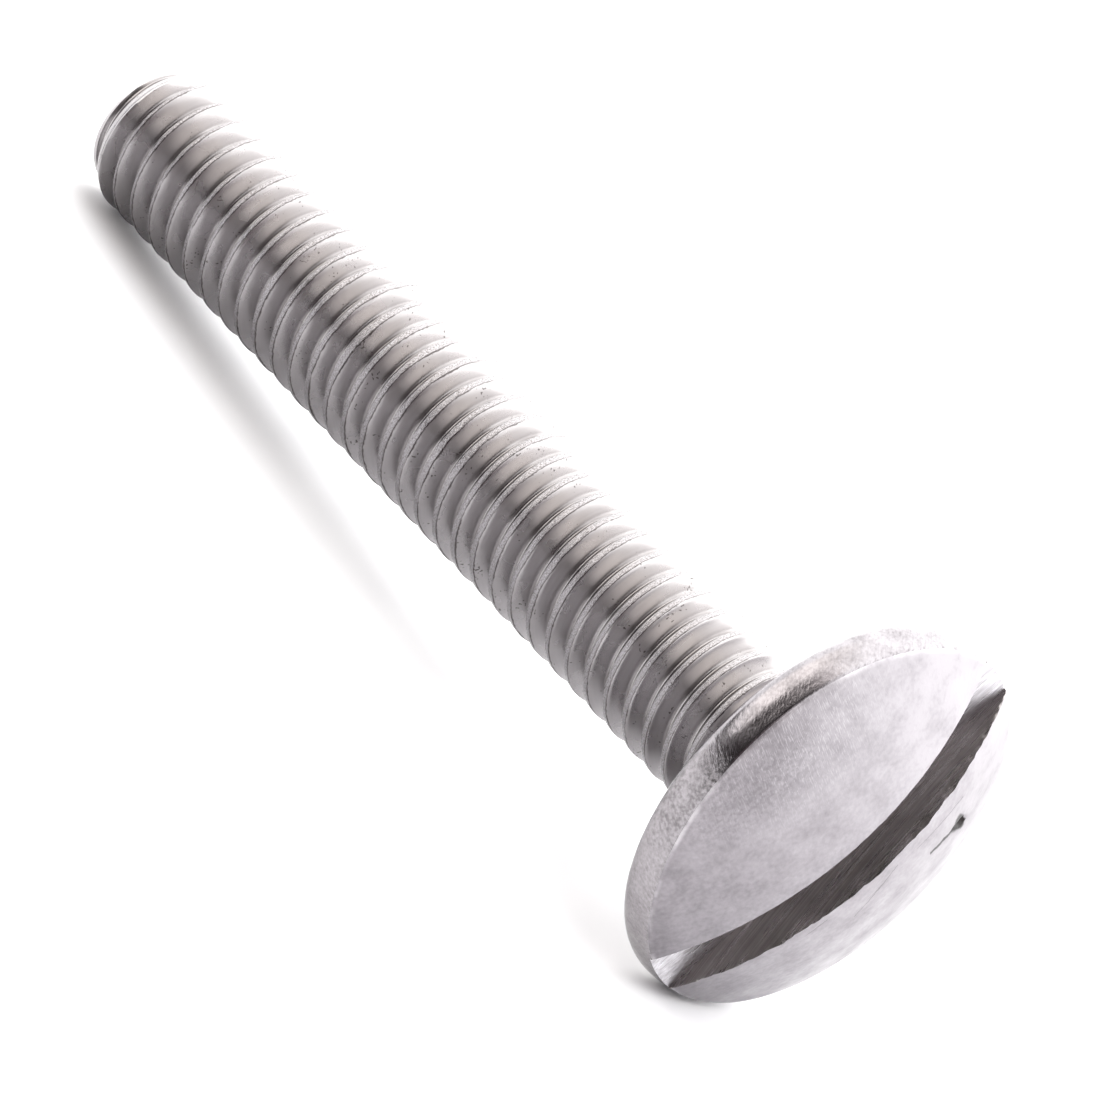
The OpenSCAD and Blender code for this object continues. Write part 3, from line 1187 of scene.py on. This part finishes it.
@dataclass(frozen=True)
class RimSteel(TumbledSteel):
    """The rim's side and the seat: brighter, with strokes across the rim.

    The head rolled on its rim in the barrel, so short crossing strokes break
    up what it reflects, and a painted dark reflection runs along the crease.
    """

    head_r: float = MushroomHead.radius
    crease_z: float = MushroomHead.rim_height
    # Painted dark reflection: the band below the crease that it darkens
    crease_reflection_band: tuple[float, float] = (0.11, 0.01)
    clouds: Grain = Grain((0.6, 0.6, 0.4), 3)
    strokes: Grain = Grain((0.05, 0.4, 0.22), 3, (1, 4, 7))
    crossing: Grain = Grain((0.16, 0.4, 0.04), 2, (5, 2, 3))
    grit: Grain = Grain((0.08, 0.08, 0.08), 2, (6, 2, 1))
    stroke_way: float = 38.0
    crossing_way: float = -25.0
    depth: float = 0.0035

    def look(self, tree: Tree, lay: Source) -> Look:
        """Add the rim's patterns and give its look."""
        polar = self.polar(tree, lay)
        cloud = tree.grain(polar, self.clouds)
        stroke, cross = (
            tree.grain(tree.add(TURN, polar, Rotation=(0, math.radians(way), 0)), grain)
            for grain, way in ((self.strokes, self.stroke_way), (self.crossing, self.crossing_way))
        )
        stroke = tree.add(MULTIPLY_ADD, cross, 0.6, stroke)
        fine = tree.grain(polar, self.grit)
        tone = tree.add(MULTIPLY_ADD, fine, 0.8, tree.add(MULTIPLY_ADD, stroke, 0.6, cloud))
        skin = tree.add(BLEND, tree.add(RANGE, tone, 1.2, 1.85, 0.0, 0.8), self.colour, self.dark)
        # Painted dark reflection in the strokes just below the crease, with the stained bruise
        up = tree.add(SPLIT, polar).outputs["Z"]
        crease = tree.add(STEP, up, *(self.crease_z - below for below in self.crease_reflection_band))
        darkened = tree.add(MULTIPLY, crease, tree.add(STEP, stroke, 0.75, 1.05, 0.0, 0.3))
        darkened = tree.add(MAXIMUM, darkened, self.bruise(tree, lay))
        skin = tree.add(BLEND, darkened, skin, self.dark_mark_and_reflection)
        relief = tree.add(MULTIPLY_ADD, fine, 0.5, stroke)
        return Look(skin, self.wander(tree, cloud, 0.05, 0.07), relief, self.depth)

    def polar(self, tree: Tree, lay: Source) -> Node:
        """Give the place round the rim, out from the axis, and up."""
        x, y, z = tree.add(SPLIT, lay).outputs
        arc = tree.add(MULTIPLY, tree.add(ARCTAN2, y, x), self.head_r)
        return tree.add(COMBINE, arc, self.from_axis(tree, lay), z)


@dataclass(frozen=True)
class SawnSteel(SteelFinish):
    """Slot cut by a slitting saw: dull, with streaks along the cut.

    The teeth leave shallow arcs that climb along the walls and straight lines
    on the floor, so the slot reflects in streaks and stays dark.
    """

    arc_r: float = 60.0
    climb: float = 0.16
    ridges: Grain = Grain((2.2, 0.08, 0.08), 2)
    lines: Grain = Grain((1.6, 0.03, 0.03), 2, (2, 5, 1))
    clouds: Grain = Grain((0.8, 0.8, 0.5), 3, (5, 1, 1))
    depth: float = 0.01

    def look(self, tree: Tree, lay: Source) -> Look:
        """Add the slot's patterns and give its look."""
        x, y, z = tree.add(SPLIT, lay).outputs
        bent = tree.add(MULTIPLY_ADD, tree.add(MULTIPLY, x, x), -0.5 / self.arc_r, z)
        cut = tree.add(COMBINE, x, y, tree.add(MULTIPLY_ADD, x, -self.climb, bent))
        coarse = tree.grain(cut, self.ridges)
        tone = tree.add(MULTIPLY_ADD, tree.grain(cut, self.lines), 0.8, coarse)
        tone = tree.add(MULTIPLY_ADD, tree.grain(lay, self.clouds), 0.5, tone)
        skin = tree.add(BLEND, tree.add(RANGE, tone, 0.85, 1.45), self.colour, self.dark)
        return Look(skin, self.wander(tree, coarse, 0.06, 0.08), tone, self.depth)


@dataclass(frozen=True)
class ShearedSteel(SteelFinish):
    """End sheared off the wire: dull and torn across, with drag lines."""

    drags: Grain = Grain((0.05, 0.7, 1.0), 3)
    clouds: Grain = Grain((0.5, 0.5, 0.5), 3, (1, 2, 3))
    depth: float = 0.02

    def look(self, tree: Tree, lay: Source) -> Look:
        """Add the end's patterns and give its look."""
        cloud = tree.grain(lay, self.clouds)
        tone = tree.add(MULTIPLY_ADD, tree.grain(lay, self.drags), 0.7, cloud)
        skin = tree.add(BLEND, tree.add(RANGE, tone, 0.6, 1.1), self.colour, self.dark)
        return Look(skin, self.wander(tree, cloud, 0.05, 0.08), tone, self.depth)


FINISHES: dict[Finish, SteelFinish] = {
    Finish.ROLLED: RolledSteel("rolled_stainless", "#c2bfbf", "#8c8888", 0.28),
    Finish.TUMBLED: TumbledSteel("tumbled_stainless", "#a39fa3", "#7a767a", 0.4),
    Finish.RIM: RimSteel("barrelled_stainless", "#a29ea1", "#6e6a6c", 0.2),
    Finish.SAWN: SawnSteel("sawn_stainless", "#bebab9", "#938e8c", 0.28),
    Finish.SHEARED: ShearedSteel("sheared_stainless", "#a39f9e", "#6b6664", 0.42),
    Finish.FLOOR: SawnSteel("slot_floor_stainless", "#d6d4d8", "#9c989c", 0.3),
}


# ---------------------------------------------------------------- the studio


@dataclass(frozen=True)
class Patch:
    """A soft-edged oblong of the light tent, and how bright it is.

    Its place and its half sizes are in degrees, and the softness of its sides
    and of its top and bottom is a share of the half size.
    """

    azimuth: float
    elevation: float
    wide: float
    high: float
    soft_sides: float
    soft_top: float
    light: float
    colour: str = "#cbb9bd"

    def mask(self, tree: Tree, look: Source) -> Node:
        """Give the patch's strength for each way that one can look."""
        side, up = math.radians(self.azimuth), math.radians(self.elevation)
        ahead = tree.add(DOT, look, toward(self.azimuth, self.elevation))
        # The way ahead is flattened, so only the sides and the height count
        sizes = math.sin(math.radians(self.wide)), FLAT, math.sin(math.radians(self.high))
        turned = tree.add(TURN, look, Rotation=(-up, 0, side), Scale=sizes)
        across, _ahead, above = tree.add(SPLIT, turned).outputs
        mask = tree.add(GREATER, ahead, 0.0)
        for off, soft in ((across, self.soft_sides), (above, self.soft_top)):
            inside = tree.add(STEP, tree.add(ABSOLUTE, off), 1 + soft, 1 - soft)
            mask = tree.add(MULTIPLY, mask, inside)
        return mask


def toward(azimuth: float, elevation: float) -> Vector:
    """Give the direction at an azimuth from -Y towards +X, in degrees."""
    a, e = math.radians(azimuth), math.radians(elevation)
    return Vector((math.sin(a) * math.cos(e), -math.cos(a) * math.cos(e), math.sin(e)))


@dataclass(frozen=True)
class Studio:
    """Table, light tent and camera round the lying screw."""

    table_half: float = 3.0
    table_colours: tuple[str, str] = ("#fafafb", "#f5f5f7")
    table_roughness: tuple[float, float] = (0.55, 0.65)
    table_clouds: float = 500.0
    table_grain: float = 3000.0
    table_depth: float = 0.002
    focal: float = 264.3
    sensor: float = 36.0
    clip: tuple[float, float] = (0.01, 50.0)
    azimuth: float = 32.095
    elevation: float = 18.942
    roll: float = 42.088
    distance: float = 0.17564
    aim: tuple[float, float, float] = (0.0023217, 0.0, 0.0035299)
    side_light: float = 1.93
    back_light: float = 3.12
    back_azimuth: float = -172.0
    back_elevation: float = 42.0
    back_spread: tuple[float, float] = (0.1, 0.95)
    lamp: Patch = Patch(-42.0, 43.0, 26.0, 26.0, 0.5, 0.4, 2.75, "#fffbf6")
    flap: Patch = Patch(44.0, 0.0, 42.0, 36.0, 0.25, 0.4, 0.35)
    gap: Patch = Patch(-40.0, 3.0, 32.0, 7.5, 0.15, 0.2, 0.1)
    opening: Patch = Patch(2.0, 22.0, 19.5, 43.0, 0.1, 0.14, 0.085)

    def camera(self) -> None:
        """Set the camera, rolled so that the screw lies across the picture."""
        data = bpy.data.cameras.new("camera")
        data.lens, data.sensor_width = self.focal, self.sensor
        data.clip_start, data.clip_end = self.clip
        camera = bpy.data.objects.new("camera", data)
        bpy.context.scene.collection.objects.link(camera)
        back = toward(self.azimuth, self.elevation)
        level = (-back).to_track_quat("-Z", "Y").to_matrix()
        turn = level @ Matrix.Rotation(math.radians(self.roll), 3, "Z")
        place = Matrix.Translation(Vector(self.aim) + back * self.distance)
        camera.matrix_world = place @ turn.to_4x4()
        bpy.context.scene.camera = camera

    def tent(self) -> None:
        """Set a white light tent, brightest behind, so shadows fall forwards.

        A lamp behind the cloth on the left brightens it. The flap on the right
        hangs in shade, and the gap under the cloth and the opening in front
        are nearly dark, so polished steel that faces them goes dark.
        """
        world = bpy.data.worlds.new("light_tent")
        tree = Tree.of(world)
        look = tree.add(COORDINATES).outputs["Generated"]
        behind = tree.add(DOT, look, toward(self.back_azimuth, self.back_elevation))
        lights = (self.side_light, self.back_light)
        strength: Value = tree.add(STEP, behind, *self.back_spread, *lights)
        colour: Value = "#ffffff"
        for patch in (self.lamp, self.flap, self.gap, self.opening):
            mask = patch.mask(tree, look)
            strength = tree.add(MIX, mask, strength, patch.light)
            colour = tree.add(BLEND, mask, colour, patch.colour)
        tree.add(WORLD, tree.add(BACKGROUND, colour, strength))
        bpy.context.scene.world = world

    def table(self) -> bpy.types.Object:
        """Make the table's top of pressed white laminate: matte, barely grained."""
        mesh = bpy.data.meshes.new("table")
        r = self.table_half
        mesh.from_pydata([(-r, -r, 0), (r, -r, 0), (r, r, 0), (-r, r, 0)], [], [(0, 1, 2, 3)])
        table = bpy.data.objects.new("table", mesh)
        bpy.context.scene.collection.objects.link(table)
        laminate = bpy.data.materials.new("white_laminate")
        tree = Tree.of(laminate)
        place = tree.add(COORDINATES).outputs["Object"]
        # Clouds of about 2 mm and grains of 0.3 mm, as in pressed melamine
        cloud = tree.add(NOISE, Vector=place, Scale=self.table_clouds, Detail=2.0)
        fine = tree.add(NOISE, Vector=place, Scale=self.table_grain, Detail=2.0)
        tint = tree.add(BLEND, cloud, *self.table_colours)
        rough = tree.add(RANGE, cloud, 0.3, 0.7, *self.table_roughness)
        tree.show(Look(tint, rough, fine, self.table_depth), metallic=0.0)
        mesh.materials.append(laminate)
        return table

    def build(self) -> None:
        """Set the table, the tent and the camera."""
        self.table()
        self.tent()
        bpy.context.scene.view_settings.view_transform = "Standard"
        self.camera()


def main() -> None:
    """Build the screw and its studio in order."""
    logging.basicConfig(level=logging.INFO, format="%(name)s: %(message)s")
    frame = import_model()
    lie = Lie.from_record(frame["record"])
    skin = Skin()
    thread = RolledThread()
    ring = thread.build(skin)
    MushroomHead().build(skin, ring, thread)
    screw = skin.to_object("screw_skin", lie.matrix())
    for finish in Finish:
        screw.data.materials.append(FINISHES[finish].material())
    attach(screw, "root")
    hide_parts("screw")
    triangles = sum(len(p.vertices) - 2 for p in screw.data.polygons)
    LOG.info("screw_skin: %d triangles", triangles)
    Studio().build()


if __name__ == "__main__":
    main()
